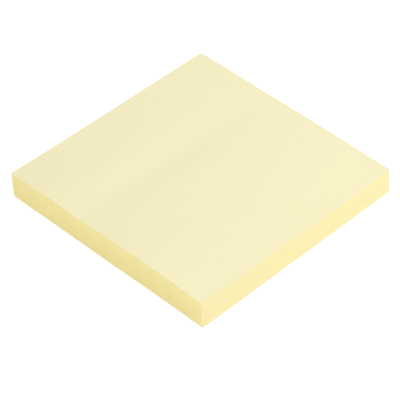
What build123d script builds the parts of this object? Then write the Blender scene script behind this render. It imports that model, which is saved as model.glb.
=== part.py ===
from build123d import *
import os
from math import exp

# A square pad of sticky notes: a guillotined stack of thin paper notes, bonded along one edge by
# the low-tack strip on the back of each note, on a release-coated backing sheet.
# The notes are one solid, note_block, as a book's pages are. The backing sheet that keeps the last
# note's strip clean is a piece of its own, backing_sheet.
#
# Frame, in millimetres: origin under the middle of the pad, +Z up through the stack, +Y towards
# the bonded edge and +X to a writer's right.

note_side = 76.0
note_count = 100
note_thickness = 0.086
backing_thickness = 0.1
adhesive_width = 19.0  # the low-tack strip, measured in from the bonded edge

cut_corner_radius = 0.3  # three corners are as the guillotine left them
bumped_corner_radius = 1.2  # the corner at +X +Y is softened by handling

# The blade drags the stack a little out of upright: how far the top note sits from the last one.
lean_x = -0.11
lean_y = 0.22

# The bonded strip holds its notes flat and the rest of the stack is loose, so the top is not quite
# level. Each entry is a low swell or hollow: height, then its middle and its spread in X and in Y.
trough_y = note_side / 2 - adhesive_width - 8.3
swells = {
    "trough_beside_strip": (-0.45, (-8.0, trough_y), (38.0, 5.6)),
    "crown_of_left_edge": (0.55, (-38.0, -14.0), (13.0, 17.0)),
    "ridge_at_strip_end": (0.25, (-38.0, 21.0), (15.0, 6.0)),
    "sag_of_free_edge": (-0.3, (12.0, -38.0), (20.0, 9.0)),
}
skin_step = 4.0  # spacing of the points that the top skin passes through

block_height = note_count * note_thickness
half_side = note_side / 2
start_x = -lean_x / 2  # the underside is set off by half the lean, so the pad's box is centred
start_y = -lean_y / 2


def swell_height(x, y):
    """How far the top note stands above or below its nominal level at one point."""
    total = 0.0
    for height, (middle_x, middle_y), (spread_x, spread_y) in swells.values():
        total += height * exp(-(((x - middle_x) / spread_x) ** 2) - ((y - middle_y) / spread_y) ** 2)
    return total


def note_outline():
    """The outline that the guillotine gives every note, with its four corners rounded."""
    outline = Pos(start_x, start_y) * Rectangle(note_side, note_side)
    bumped_corner = outline.vertices().sort_by(Axis.X)[-2:].sort_by(Axis.Y)[-1]
    outline = fillet(bumped_corner, bumped_corner_radius)
    cut_corners = [
        vertex
        for vertex in outline.vertices()
        if abs(abs(vertex.X - start_x) - half_side) < 1e-6
        and abs(abs(vertex.Y - start_y) - half_side) < 1e-6
    ]
    return fillet(cut_corners, cut_corner_radius)


def top_skin():
    """The surface of the top note, carried one step past the outline on every side."""
    steps = int(note_side / skin_step) + 2
    marks = [-half_side - skin_step + index * skin_step for index in range(steps + 1)]
    level = backing_thickness + block_height
    points = [[Vector(x, y, level + swell_height(x, y)) for x in marks] for y in marks]
    return Face.make_surface_from_array_of_points(points, tol=0.002, min_deg=3)


def note_block():
    """All the notes as one solid: the outline drawn up along the lean, cut off at the top skin."""
    head_room = 1.25
    rise = Vector(lean_x, lean_y, block_height)
    outline = Pos(0, 0, backing_thickness) * note_outline()
    column = extrude(outline, amount=rise.length * head_room, dir=rise)
    pieces = column.solid().split(top_skin(), keep=Keep.ALL)
    return pieces.solids().sort_by(Axis.Z)[0]


def backing_sheet():
    """The release-coated sheet under the last note."""
    return extrude(note_outline(), amount=backing_thickness)


os.makedirs("parts", exist_ok=True)
sub_parts = {"note_block": note_block(), "backing_sheet": backing_sheet()}
for name, shape in sub_parts.items():
    export_step(shape, f"parts/{name}.step")
    box = shape.bounding_box()
    print(name, "valid", shape.is_valid, "volume", round(shape.volume, 1), "size", box.size)
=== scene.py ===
import math
import random

import bmesh
import bpy
from mathutils import Matrix, Vector


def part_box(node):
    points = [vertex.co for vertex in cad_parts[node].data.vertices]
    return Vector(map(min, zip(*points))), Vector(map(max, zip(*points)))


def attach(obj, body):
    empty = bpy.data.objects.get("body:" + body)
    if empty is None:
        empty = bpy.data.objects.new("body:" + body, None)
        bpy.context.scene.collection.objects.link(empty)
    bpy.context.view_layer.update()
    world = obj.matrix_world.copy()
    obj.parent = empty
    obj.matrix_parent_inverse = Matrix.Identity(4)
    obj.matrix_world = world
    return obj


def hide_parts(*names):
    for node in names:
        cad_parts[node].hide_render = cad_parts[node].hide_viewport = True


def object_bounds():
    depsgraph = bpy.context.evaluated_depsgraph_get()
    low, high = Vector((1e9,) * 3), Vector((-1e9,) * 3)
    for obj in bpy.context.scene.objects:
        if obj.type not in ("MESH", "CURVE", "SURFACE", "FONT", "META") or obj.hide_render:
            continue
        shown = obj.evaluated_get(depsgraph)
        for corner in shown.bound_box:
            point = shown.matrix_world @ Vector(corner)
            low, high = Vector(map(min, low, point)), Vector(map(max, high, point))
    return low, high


# A square pad of yellow sticky notes on its backing sheet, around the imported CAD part.
# Metres, +Z up through the stack, +Y towards the bonded edge.

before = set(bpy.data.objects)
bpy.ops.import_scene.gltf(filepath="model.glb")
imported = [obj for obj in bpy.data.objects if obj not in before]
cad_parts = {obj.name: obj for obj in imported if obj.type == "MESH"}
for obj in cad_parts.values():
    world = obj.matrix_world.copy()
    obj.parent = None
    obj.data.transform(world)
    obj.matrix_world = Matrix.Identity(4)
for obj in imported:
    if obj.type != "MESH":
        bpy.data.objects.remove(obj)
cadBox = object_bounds()
padMiddle = (cadBox[0] + cadBox[1]) / 2
underside = cadBox[0].z
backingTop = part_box("backing_sheet")[1].z
print("frame loaded, pad is", [round(side * 1000, 2) for side in cadBox[1] - cadBox[0]], "mm")


# camera

cameraView = {
    "azimuth": -44.252,  # degrees, 0 looks along +Y
    "elevation": 42.301,
    "roll": -1.174,
    "distance": 0.6367,
    "lens": 203.08,
    "aim": (-0.00559, -0.00501, 0.00435),  # from the middle of the underside
}


def towards(azimuth, elevation):
    azimuth, elevation = math.radians(azimuth), math.radians(elevation)
    flat = math.cos(elevation)
    return Vector((math.sin(azimuth) * flat, -math.cos(azimuth) * flat, math.sin(elevation)))


def placeCamera(view):
    back = towards(view["azimuth"], view["elevation"])
    data = bpy.data.cameras.new("padCamera")
    data.lens = view["lens"]
    data.clip_start = 0.01
    data.clip_end = 20.0
    camera = bpy.data.objects.new("padCamera", data)
    aim = Vector((padMiddle.x, padMiddle.y, underside)) + Vector(view["aim"])
    camera.location = aim + back * view["distance"]
    level = back.to_track_quat("Z", "Y").to_matrix()
    camera.rotation_euler = (level @ Matrix.Rotation(math.radians(view["roll"]), 3, "Z")).to_euler()
    bpy.context.scene.collection.objects.link(camera)
    bpy.context.scene.camera = camera
    print("camera placed")


placeCamera(cameraView)


# node helpers


def join(tree, value, socket):
    if isinstance(value, bpy.types.NodeSocket):
        tree.links.new(value, socket)
    elif isinstance(value, tuple) and socket.type == "RGBA":
        socket.default_value = (*value, 1.0)
    else:
        socket.default_value = value


def addNode(tree, kind, place, values=None, **settings):
    node = tree.nodes.new(kind)
    node.location = (place[0] * 200, place[1] * 200)
    for name, value in settings.items():
        setattr(node, name, value)
    for name, value in (values or {}).items():
        join(tree, value, node.inputs[name])
    return node


def maths(tree, operation, place, *values):
    node = addNode(tree, "ShaderNodeMath", place, operation=operation)
    for socket, value in zip(node.inputs, values):
        join(tree, value, socket)
    return node.outputs[0]


def fade(tree, place, value, full, none):
    ramp = addNode(
        tree, "ShaderNodeMapRange", place,
        {"Value": value, "From Min": full, "From Max": none, "To Min": 1.0, "To Max": 0.0},
        interpolation_type="SMOOTHSTEP",
    )
    return ramp.outputs["Result"]


def mixColours(tree, place, share, first, second):
    node = addNode(tree, "ShaderNodeMix", place, data_type="RGBA")
    for socket, value in ((node.inputs[0], share), (node.inputs[6], first), (node.inputs[7], second)):
        join(tree, value, socket)
    return node.outputs[2]


def toned(tree, place, colour, tone):
    node = addNode(tree, "ShaderNodeVectorMath", place, operation="SCALE")
    join(tree, colour, node.inputs[0])
    join(tree, tone, node.inputs["Scale"])
    return node.outputs[0]


def noise(tree, place, vector, scale, detail=2.0, **settings):
    values = {"Vector": vector, "Scale": scale, "Detail": detail}
    return addNode(tree, "ShaderNodeTexNoise", place, values, **settings).outputs["Fac"]


def startMaterial(name, look):
    material = bpy.data.materials.new(name)
    material.use_nodes = True
    tree = material.node_tree
    shader = tree.nodes["Principled BSDF"]
    shader.inputs["Roughness"].default_value = look["roughness"]
    shader.inputs["Specular IOR Level"].default_value = look["specular"]
    coords = addNode(tree, "ShaderNodeTexCoord", (-12, 0)).outputs["Object"]
    return material, tree, shader, coords


def finishMaterial(tree, shader, colour, height, depth):
    bump = addNode(tree, "ShaderNodeBump", (-1, -2), {"Height": height, "Distance": depth})
    tree.links.new(colour, shader.inputs["Base Color"])
    tree.links.new(bump.outputs["Normal"], shader.inputs["Normal"])


# Uncoated paper: a soft cloudiness where the fibres lie thicker or thinner, and the tooth of its
# surface. Tone is a factor round 1, Tooth a height from 0 to 1.
def makePaperGrain():
    group = bpy.data.node_groups.new("paperGrain", "ShaderNodeTree")
    for name, kind, value in (
        ("Position", "NodeSocketVector", None),
        ("Cloud Size", "NodeSocketFloat", 260.0),
        ("Cloud Strength", "NodeSocketFloat", 0.02),
        ("Tooth Size", "NodeSocketFloat", 9000.0),
        ("Tooth Strength", "NodeSocketFloat", 0.03),
    ):
        socket = group.interface.new_socket(name, in_out="INPUT", socket_type=kind)
        if value is not None:
            socket.default_value = value
    for name in ("Tone", "Tooth"):
        group.interface.new_socket(name, in_out="OUTPUT", socket_type="NodeSocketFloat")
    given = addNode(group, "NodeGroupInput", (-5, 0)).outputs
    made = addNode(group, "NodeGroupOutput", (2, 0)).inputs
    clouds = noise(group, (-4, 1), given["Position"], given["Cloud Size"], 3.0)
    tooth = noise(group, (-4, -1), given["Position"], given["Tooth Size"])
    cloudy = maths(group, "SUBTRACT", (-3, 1), clouds, 0.5)
    toothy = maths(group, "SUBTRACT", (-3, -1), tooth, 0.5)
    tone = maths(group, "MULTIPLY_ADD", (-2, -1), toothy, given["Tooth Strength"], 1.0)
    tone = maths(group, "MULTIPLY_ADD", (-1, 0), cloudy, given["Cloud Strength"], tone)
    group.links.new(tone, made["Tone"])
    group.links.new(tooth, made["Tooth"])
    return group


paperGrain = makePaperGrain()


# the face of a note

notePaperLook = {
    "colour": (0.909, 0.837, 0.53),
    "roughness": 0.88,
    "specular": 0.2,
    "toothDepth": 0.000002,
    "speckTone": 0.06,  # how much darker the middle of a speck is
    # specks of darker fibre in the top note: X, Y and radius
    "specks": (
        (0.0260, -0.0230, 0.00035),
        (0.0130, -0.0250, 0.0003),
        (0.0062, -0.0262, 0.00028),
        (-0.0171, 0.0094, 0.00022),
        (0.0085, 0.0288, 0.0002),
    ),
}


def makeNotePaper(look):
    material, tree, shader, coords = startMaterial("notePaper", look)
    grain = addNode(tree, "ShaderNodeGroup", (-8, 0), node_tree=paperGrain)
    tree.links.new(coords, grain.inputs["Position"])
    flat = addNode(tree, "ShaderNodeVectorMath", (-9, 2), operation="MULTIPLY")
    tree.links.new(coords, flat.inputs[0])
    flat.inputs[1].default_value = (1, 1, 0)
    specky = 0.0
    for row, (x, y, radius) in enumerate(look["specks"], 2):
        away = addNode(tree, "ShaderNodeVectorMath", (-7, row), operation="DISTANCE")
        tree.links.new(flat.outputs[0], away.inputs[0])
        away.inputs[1].default_value = (x, y, 0)
        spot = fade(tree, (-6, row), away.outputs["Value"], 0.0, radius)
        specky = maths(tree, "MAXIMUM", (-5, row), spot, specky)
    tone = maths(tree, "MULTIPLY_ADD", (-4, 1), specky, -look["speckTone"], grain.outputs["Tone"])
    colour = toned(tree, (-3, 0), look["colour"], tone)
    finishMaterial(tree, shader, colour, grain.outputs["Tooth"], look["toothDepth"])
    return material


# the guillotined edges of the stack

cutEdgeLook = {
    "facingXColour": (0.897, 0.80, 0.392),  # the two sides that face X
    "facingYPaintedSheen": (0.905, 0.81, 0.448),  # the two that face Y, paler and bluer: painted sheen standing in for the extra light on the lamp-lit side
    "paintedCornerHighlight": (0.915, 0.835, 0.49),  # paler upright corners: painted highlight along the corner edges
    "cornerHighlightWidth": 0.0003,
    "roughness": 0.9,
    "specular": 0.15,
    "noteTone": 0.03,  # how far one note's edge differs from the next
    "fibreTone": 0.05,
    "fibreLengths": (900.0, 5000.0),  # along the side: fibres lie along X sides, end at Y sides
    "fibreHeight": 14000.0,
    "dragTone": 0.02,  # faint marks where the blade came down
    "dragSlant": 0.25,
    "dragSize": (1100.0, 90.0),
    "depth": 0.000005,
}


def makeCutEdge(look):
    material, tree, shader, coords = startMaterial("cutEdge", look)
    grain = addNode(tree, "ShaderNodeGroup", (-8, 0), {"Cloud Strength": 0.03}, node_tree=paperGrain)
    tree.links.new(coords, grain.inputs["Position"])
    place = addNode(tree, "ShaderNodeSeparateXYZ", (-11, 3), {"Vector": coords}).outputs
    normal = addNode(tree, "ShaderNodeNewGeometry", (-11, 1)).outputs["Normal"]
    facing = addNode(tree, "ShaderNodeSeparateXYZ", (-10, 1), {"Vector": normal}).outputs["Y"]
    facing = maths(tree, "ABSOLUTE", (-9, 1), facing)
    along = maths(tree, "ADD", (-10, 3), place["X"], place["Y"])

    number = addNode(tree, "ShaderNodeAttribute", (-8, 5), attribute_name="noteNumber").outputs["Fac"]
    own = addNode(tree, "ShaderNodeTexWhiteNoise", (-7, 5), {"W": number}, noise_dimensions="1D")
    ownTone = maths(tree, "SUBTRACT", (-6, 5), own.outputs["Value"], 0.5)

    shortest, longest = look["fibreLengths"][1], look["fibreLengths"][0]
    stretch = maths(tree, "MULTIPLY_ADD", (-9, 4), facing, shortest - longest, longest)
    fibreX = maths(tree, "MULTIPLY", (-8, 4), along, stretch)
    fibreZ = maths(tree, "MULTIPLY", (-8, 3), place["Z"], look["fibreHeight"])
    fibreAt = addNode(tree, "ShaderNodeCombineXYZ", (-7, 4), {"X": fibreX, "Y": fibreZ})
    fibres = noise(tree, (-6, 4), fibreAt.outputs[0], 1.0, noise_dimensions="2D")
    fibreTone = maths(tree, "SUBTRACT", (-5, 4), fibres, 0.5)

    slanted = maths(tree, "MULTIPLY_ADD", (-9, 2), place["Z"], look["dragSlant"], along)
    dragX = maths(tree, "MULTIPLY", (-8, 2), slanted, look["dragSize"][0])
    dragZ = maths(tree, "MULTIPLY", (-8, 1), place["Z"], look["dragSize"][1])
    dragAt = addNode(tree, "ShaderNodeCombineXYZ", (-7, 2), {"X": dragX, "Y": dragZ})
    drag = noise(tree, (-6, 2), dragAt.outputs[0], 1.0, noise_dimensions="2D")
    dragTone = maths(tree, "SUBTRACT", (-5, 2), drag, 0.5)

    tone = maths(tree, "MULTIPLY_ADD", (-4, 4), ownTone, look["noteTone"], grain.outputs["Tone"])
    tone = maths(tree, "MULTIPLY_ADD", (-4, 3), fibreTone, look["fibreTone"], tone)
    tone = maths(tree, "MULTIPLY_ADD", (-4, 2), dragTone, look["dragTone"], tone)

    # the upright corner arcs turn paler: a painted highlight
    corner = addNode(tree, "ShaderNodeAttribute", (-6, 0), attribute_name="fromCorner").outputs["Fac"]
    paintedCornerHighlight = fade(tree, (-5, 0), corner, 0.0, look["cornerHighlightWidth"])
    # the sides facing Y are paler and bluer than those facing X: painted sheen
    colour = mixColours(tree, (-4, 1), facing, look["facingXColour"], look["facingYPaintedSheen"])
    colour = mixColours(tree, (-3, 1), paintedCornerHighlight, colour, look["paintedCornerHighlight"])
    colour = toned(tree, (-2, 1), colour, tone)
    height = maths(tree, "ADD", (-3, -2), fibres, drag)
    finishMaterial(tree, shader, colour, height, look["depth"])
    return material


# the backing sheet

backingLook = {
    # kraft brown, kept dark so that its thin edge under the stack reads as the dark line along the contact:
    # partly the sheet's own colour, partly painted shade
    "colour": (0.60, 0.53, 0.42),
    "coated": (0.56, 0.49, 0.385),  # the band that the last note's adhesive shows through
    "bandWidth": 0.019,
    "bandBlur": 0.0008,
    "roughness": 0.6,
    "specular": 0.35,
    "toothDepth": 0.000002,
    "fibreSize": (900.0, 160.0),
    "fibreTone": 0.12,
}


def makeBackingPaper(look):
    material, tree, shader, coords = startMaterial("backingPaper", look)
    grain = addNode(tree, "ShaderNodeGroup", (-8, 0), {"Cloud Strength": 0.08}, node_tree=paperGrain)
    tree.links.new(coords, grain.inputs["Position"])
    place = addNode(tree, "ShaderNodeSeparateXYZ", (-11, 2), {"Vector": coords}).outputs
    bandEnd = cadBox[1].y - look["bandWidth"]
    coated = fade(tree, (-6, 3), place["Y"], bandEnd + look["bandBlur"], bandEnd)
    stretch = addNode(tree, "ShaderNodeVectorMath", (-9, 2), operation="MULTIPLY")
    tree.links.new(coords, stretch.inputs[0])
    stretch.inputs[1].default_value = (*look["fibreSize"], 0.0)
    fibres = noise(tree, (-7, 2), stretch.outputs[0], 1.0)
    fibreTone = maths(tree, "SUBTRACT", (-6, 2), fibres, 0.5)
    tone = maths(tree, "MULTIPLY_ADD", (-5, 1), fibreTone, look["fibreTone"], grain.outputs["Tone"])
    colour = mixColours(tree, (-4, 2), coated, look["colour"], look["coated"])
    colour = toned(tree, (-3, 1), colour, tone)
    finishMaterial(tree, shader, colour, grain.outputs["Tooth"], look["toothDepth"])
    return material


# the stack of notes

stack = {
    "notes": 100,
    "noteThickness": 0.000086,
    "side": 0.076,
    "cells": 38,  # squares along a side
    "outOfSquare": 0.00012,  # how far each corner is off a true square
    "corners": {(-1, 1): 0.0002, (1, 1): 0.0013, (1, -1): 0.00025, (-1, -1): 0.00012},  # radii
    "cornerSteps": 5,
    "lean": (-0.00014, 0.00031),  # how far the top note sits from the last one
    "gap": 0.14,  # share of a note's thickness
    "gapDepth": 0.00002,
    "stray": 0.000012,  # how far a note usually sits from its neighbours
    "seed": 7,
    "swellFade": 1.5,  # how fast the swells of the top die away further down: a power of the height
    "cornerReach": 1.01,  # how far past its radius a point still counts as on a corner
    "mergeDistance": 0.0000001,
    "sharpAngle": 30.0,  # degrees
}

# low swells and hollows of the top: height, middle, spread in X and Y
swells = (
    (-0.00045, (-0.008, 0.0107), (0.038, 0.0056)),  # trough beside the bonded strip
    (0.001, (-0.038, -0.016), (0.018, 0.022)),  # crown of the left edge
    (0.0005, (-0.038, 0.0235), (0.018, 0.0145)),  # ridge where the strip ends
    (-0.00065, (0.0165, -0.038), (0.037, 0.012)),  # sag of the free edge
    (-0.00035, (-0.021, 0.038), (0.041, 0.012)),  # bonded edge, pressed by its adhesive
    (0.0003, (0.038, -0.038), (0.005, 0.005)),  # lifted corner
)
# where the left edge of the last sheets curls off the desk
curls = (
    (0.0002, (-0.038, -0.017), (0.007, 0.011)),
    (0.00016, (-0.038, 0.02), (0.006, 0.006)),
)


def hillAt(hills, x, y):
    return sum(
        height * math.exp(-(((x - middle[0]) / spread[0]) ** 2) - ((y - middle[1]) / spread[1]) ** 2)
        for height, middle, spread in hills
    )


# Each point keeps where it lies on a true square note, and how far it is from the nearest corner.
def startStack():
    sheets = bmesh.new()
    sheets.verts.layers.float_vector.new("outline")
    sheets.verts.layers.float.new("fromCorner")
    sheets.faces.layers.float.new("noteNumber")
    sheets.loops.layers.uv.new("OFBake")
    return sheets


def layNote(sheets, number, height, shift):
    outline = sheets.verts.layers.float_vector["outline"]
    fromCorner = sheets.verts.layers.float["fromCorner"]
    half = stack["side"] / 2
    already = set(sheets.verts)
    facesAlready = set(sheets.faces)
    note = bmesh.ops.create_grid(sheets, x_segments=stack["cells"], y_segments=stack["cells"], size=half)
    for corner in [vert for vert in note["verts"] if len(vert.link_edges) == 2]:
        which = (round(corner.co.x / half), round(corner.co.y / half))
        bmesh.ops.bevel(
            sheets, geom=[corner], affect="VERTICES", segments=stack["cornerSteps"], profile=0.5,
            offset=stack["corners"][which], material=-1,
        )
    verts = [vert for vert in sheets.verts if vert not in already]
    for vert in verts:
        vert[outline] = vert.co
        vert[fromCorner] = half - min(abs(vert.co.x), abs(vert.co.y))
        for (x, y), radius in stack["corners"].items():
            start = half - radius * stack["cornerReach"]
            if vert.co.x * x > start and vert.co.y * y > start:
                vert[fromCorner] = 0.0
    for face in sheets.faces:
        if face not in facesAlready:
            face[sheets.faces.layers.float["noteNumber"]] = number
    settle(sheets, verts, height, 0.0, shift)


def settle(sheets, verts, height, inset, shift):
    outline = sheets.verts.layers.float_vector["outline"]
    half = stack["side"] / 2
    share = max(0.0, (height - backingTop) / (stack["notes"] * stack["noteThickness"]))
    for vert in verts:
        x, y, _ = vert[outline]
        skew = stack["outOfSquare"] * x * y / half**2
        vert.co.x = (x + skew) * (1 - inset / half) + stack["lean"][0] * (share - 0.5) + shift[0]
        vert.co.y = (y - skew) * (1 - inset / half) + stack["lean"][1] * (share - 0.5) + shift[1]
        swell = hillAt(swells, x, y) * share ** stack["swellFade"]
        vert.co.z = height + swell + hillAt(curls, x, y) * (1 - share)


def drawDown(sheets, ring, number, height, inset=0.0, shift=(0.0, 0.0)):
    grown = bmesh.ops.extrude_edge_only(sheets, edges=ring)["geom"]
    settle(sheets, [item for item in grown if isinstance(item, bmesh.types.BMVert)], height, inset, shift)
    for face in grown:
        if isinstance(face, bmesh.types.BMFace):
            face.material_index = 1
            face[sheets.faces.layers.float["noteNumber"]] = number
    return [item for item in grown if isinstance(item, bmesh.types.BMEdge) and item.is_boundary]


def finishStack(sheets, name, node, materials):
    bmesh.ops.remove_doubles(sheets, verts=sheets.verts, dist=stack["mergeDistance"])
    bmesh.ops.recalc_face_normals(sheets, faces=sheets.faces)
    for face in sheets.faces:
        face.smooth = True
    for edge in sheets.edges:
        edge.smooth = edge.calc_face_angle(0.0) < math.radians(stack["sharpAngle"])
    mapForBake(sheets)
    mesh = bpy.data.meshes.new(name)
    sheets.to_mesh(mesh)
    sheets.free()
    for material in materials:
        mesh.materials.append(material)
    piece = bpy.data.objects.new(name, mesh)
    bpy.context.scene.collection.objects.link(piece)
    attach(piece, "root")
    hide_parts(node)
    print(name, "built,", len(mesh.polygons), "faces")


# One map for baking: the top in the large square, the four cut sides in strips along it,
# and the underside in the small square.
bakeMap = {
    "top": (0.01, 0.01, 0.69),  # start and side
    "under": (0.725, 0.725, 0.265),
    "strips": ((0.72, 0.12), (0.86, 0.12)),  # start and width
    "stripHeight": 0.0098,
}


def mapForBake(sheets):
    outline = sheets.verts.layers.float_vector["outline"]
    uv = sheets.loops.layers.uv["OFBake"]
    side = stack["side"]
    left, low, size = bakeMap["top"]
    for face in sheets.faces:
        spots = [loop.vert[outline] for loop in face.loops]
        middle = sum(spots, Vector()) / len(spots)
        if face.material_index == 0:
            mapX, mapY, square = bakeMap["top" if face.normal.z > 0 else "under"]
            for loop, spot in zip(face.loops, spots):
                loop[uv].uv = (mapX + (spot.x / side + 0.5) * square, mapY + (spot.y / side + 0.5) * square)
            continue
        facesX = abs(middle.x) > abs(middle.y)
        strip, width = bakeMap["strips"][(middle.x if facesX else middle.y) > 0]
        for loop, spot in zip(face.loops, spots):
            across = strip + width * loop.vert.co.z / bakeMap["stripHeight"]
            if facesX:
                loop[uv].uv = (across, low + (spot.y / side + 0.5) * size)
            else:
                loop[uv].uv = (left + (spot.x / side + 0.5) * size, across)


def buildNotes():
    count, thickness, gap = stack["notes"], stack["noteThickness"], stack["gap"]
    dice = random.Random(stack["seed"])
    shifts = [(dice.gauss(0, stack["stray"]), dice.gauss(0, stack["stray"])) for _ in range(count)]
    sheets = startStack()
    layNote(sheets, count - 1, backingTop + count * thickness, shifts[-1])
    ring = [edge for edge in sheets.edges if edge.is_boundary]
    for note in reversed(range(count)):
        floor = backingTop + note * thickness
        if note == 0:
            drawDown(sheets, ring, note, floor, 0.0, shifts[note])
            break
        under = shifts[note - 1]
        between = [(upper + lower) / 2 for upper, lower in zip(shifts[note], under)]
        ring = drawDown(sheets, ring, note, floor + thickness * gap, 0.0, shifts[note])
        ring = drawDown(sheets, ring, note, floor + thickness * gap / 2, stack["gapDepth"], between)
        ring = drawDown(sheets, ring, note - 1, floor, 0.0, under)
    layNote(sheets, 0, backingTop, shifts[0])
    finishStack(
        sheets, "noteSheets", "note_block",
        [makeNotePaper(notePaperLook), makeCutEdge(cutEdgeLook)],
    )


def buildBacking():
    sheets = startStack()
    layNote(sheets, 0, backingTop, (0.0, 0.0))
    ring = [edge for edge in sheets.edges if edge.is_boundary]
    drawDown(sheets, ring, 0, underside)
    layNote(sheets, 0, underside, (0.0, 0.0))
    paper = makeBackingPaper(backingLook)
    finishStack(sheets, "backingPaper", "backing_sheet", [paper, paper])


buildNotes()
buildBacking()


# floor, backdrop and light

studio = {
    "floorSize": 6.0,
    "floorDrop": 0.00001,  # keeps the floor clear of the backing sheet
    "floorColour": 0.8,
    "floorGlow": 0.66,  # added for the camera only, so that the floor is as white as the backdrop
    "sky": 0.442,
    "key": {"azimuth": 45.0, "elevation": 40.0, "distance": 1.2, "size": 0.5, "power": 10.8,
            "colour": (0.985, 1.0, 1.04)},
    "fill": {"azimuth": -90.0, "elevation": 15.0, "distance": 1.2, "size": 0.5, "power": 6.3,
             "colour": (1.0, 0.985, 0.95)},
}


def seenDirectly(tree, place):
    rays = addNode(tree, "ShaderNodeLightPath", place).outputs
    seen = maths(tree, "MAXIMUM", (place[0] + 1, place[1]), rays["Is Camera Ray"], rays["Is Glossy Ray"])
    return maths(tree, "MAXIMUM", (place[0] + 2, place[1]), seen, rays["Is Transmission Ray"])


def buildFloor():
    floor = bmesh.new()
    bmesh.ops.create_grid(floor, x_segments=1, y_segments=1, size=studio["floorSize"] / 2)
    bmesh.ops.translate(floor, verts=floor.verts, vec=(0, 0, underside - studio["floorDrop"]))
    mesh = bpy.data.meshes.new("floor")
    floor.to_mesh(mesh)
    floor.free()
    piece = bpy.data.objects.new("floor", mesh)
    bpy.context.scene.collection.objects.link(piece)
    material = bpy.data.materials.new("floorPaper")
    material.use_nodes = True
    tree = material.node_tree
    tree.nodes.remove(tree.nodes["Principled BSDF"])
    diffuse = addNode(tree, "ShaderNodeBsdfDiffuse", (-2, 0), {"Color": (studio["floorColour"],) * 3})
    strength = maths(tree, "MULTIPLY", (-2, -1), seenDirectly(tree, (-6, -1)), studio["floorGlow"])
    glow = addNode(tree, "ShaderNodeEmission", (-1, -1), {"Strength": strength})
    both = addNode(tree, "ShaderNodeAddShader", (0, 0))
    tree.links.new(diffuse.outputs[0], both.inputs[0])
    tree.links.new(glow.outputs[0], both.inputs[1])
    tree.links.new(both.outputs[0], tree.nodes["Material Output"].inputs["Surface"])
    mesh.materials.append(material)


def lightWorld():
    world = bpy.data.worlds.new("studio")
    bpy.context.scene.world = world
    world.use_nodes = True
    tree = world.node_tree
    sky = studio["sky"]
    strength = maths(tree, "MULTIPLY_ADD", (-2, 0), seenDirectly(tree, (-6, 0)), 1.0 - sky, sky)
    tree.links.new(strength, tree.nodes["Background"].inputs["Strength"])
    tree.nodes["Background"].inputs["Color"].default_value = (1, 1, 1, 1)


def hangLamp(name, lamp):
    data = bpy.data.lights.new(name, "AREA")
    data.energy = lamp["power"]
    data.size = lamp["size"]
    data.color = lamp["colour"]
    back = towards(lamp["azimuth"], lamp["elevation"])
    light = bpy.data.objects.new(name, data)
    light.location = back * lamp["distance"]
    light.rotation_euler = back.to_track_quat("Z", "Y").to_euler()
    bpy.context.scene.collection.objects.link(light)


buildFloor()
lightWorld()
hangLamp("keyLamp", studio["key"])
hangLamp("fillLamp", studio["fill"])
bpy.context.scene.view_settings.view_transform = "Standard"
print("studio lit")
